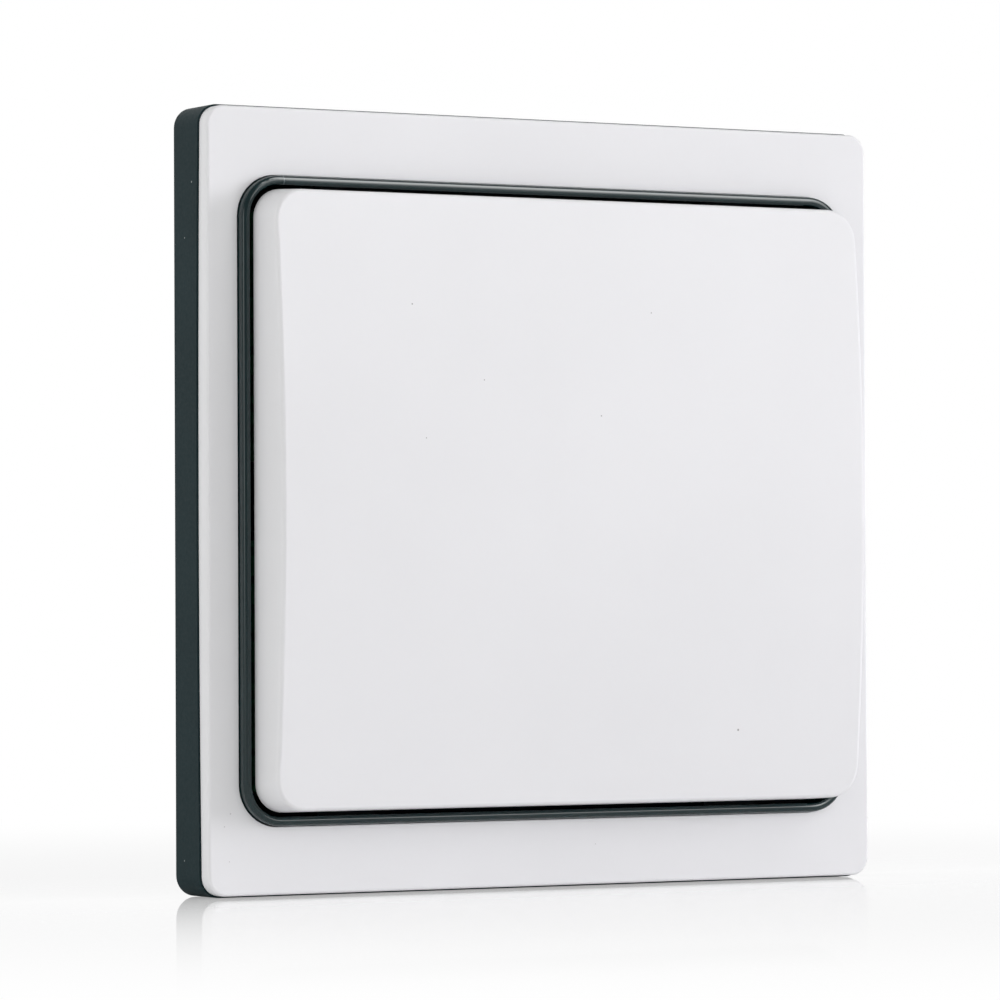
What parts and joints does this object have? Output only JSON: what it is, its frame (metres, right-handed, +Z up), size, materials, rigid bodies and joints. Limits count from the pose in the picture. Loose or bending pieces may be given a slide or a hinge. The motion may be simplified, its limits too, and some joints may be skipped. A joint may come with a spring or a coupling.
{
  "type": "wireless wall switch",
  "caption": "Square surface-mounted wireless wall switch with one large crowned rocker in a dark ring, a white cover frame and a dark back shell.",
  "frame": {"origin": "centre of the back shell's rear face, on the wall", "axes": "+Y into the wall, +Z up along the wall, +X to the right seen from the front; the front looks along -Y"},
  "size_m": [0.086, 0.0148, 0.086],
  "materials": {
    "shell_plastic": "fine matt grain",
    "white_plastic": "satin to gloss, cool white",
    "ring_plastic": "high gloss, dark slate",
    "carrier_plastic": "matt, near black",
    "board_laminate": "green solder resist over glass laminate",
    "screw_steel": "zinc plated",
    "switch_plastic": "matt black",
    "stamped_steel": "plain stamped, tin plated",
    "plunger_plastic": "natural, satin",
    "holder_plastic": "matt, dark",
    "cell_steel": "nickel plated, satin",
    "chip_resin": "matt moulded resin",
    "aerial_copper": "enamelled copper wire, satin",
    "chip_ceramic": "fired ceramic"
  },
  "bodies": {
    "base": {"back_shell": "shell_plastic", "cover_frame": "white_plastic", "trim_ring": "ring_plastic", "carrier": "carrier_plastic", "circuit_board": "board_laminate", "board_screws": "screw_steel", "switch_body_upper": "switch_plastic", "switch_body_lower": "switch_plastic", "switch_cover_upper": "stamped_steel", "switch_cover_lower": "stamped_steel", "switch_terminals": "stamped_steel", "cell_holder": "holder_plastic", "coin_cell": "cell_steel", "cell_contact_positive": "stamped_steel", "cell_contact_negative": "stamped_steel", "radio_chip": "chip_resin", "crystal_can": "cell_steel", "antenna_wire": "aerial_copper", "chip_parts": "chip_ceramic"},
    "rocker_body": {"rocker": "white_plastic"},
    "plunger_upper_body": {"switch_plunger_upper": "plunger_plastic"},
    "plunger_lower_body": {"switch_plunger_lower": "plunger_plastic"}
  },
  "joints": [
    {"name": "rocker_tilt", "type": "hinge", "parent": "base", "child": "rocker_body", "pos_m": [0, -0.0086, 0], "axis": [1, 0, 0], "range_deg": [-2.3, 2.3], "stiffness_Nm_per_rad": 1.9},
    {"name": "upper_plunger_slide", "type": "slide", "parent": "base", "child": "plunger_upper_body", "axis": [0, 1, 0], "range_m": [-0.0009, 0.0009]},
    {"name": "lower_plunger_slide", "type": "slide", "parent": "base", "child": "plunger_lower_body", "axis": [0, 1, 0], "range_m": [-0.0009, 0.0009]}
  ],
  "couplings": [
    {"joint": "upper_plunger_slide", "follows": "rocker_tilt", "m_per_rad": -0.022},
    {"joint": "lower_plunger_slide", "follows": "rocker_tilt", "m_per_rad": 0.022}
  ]
}
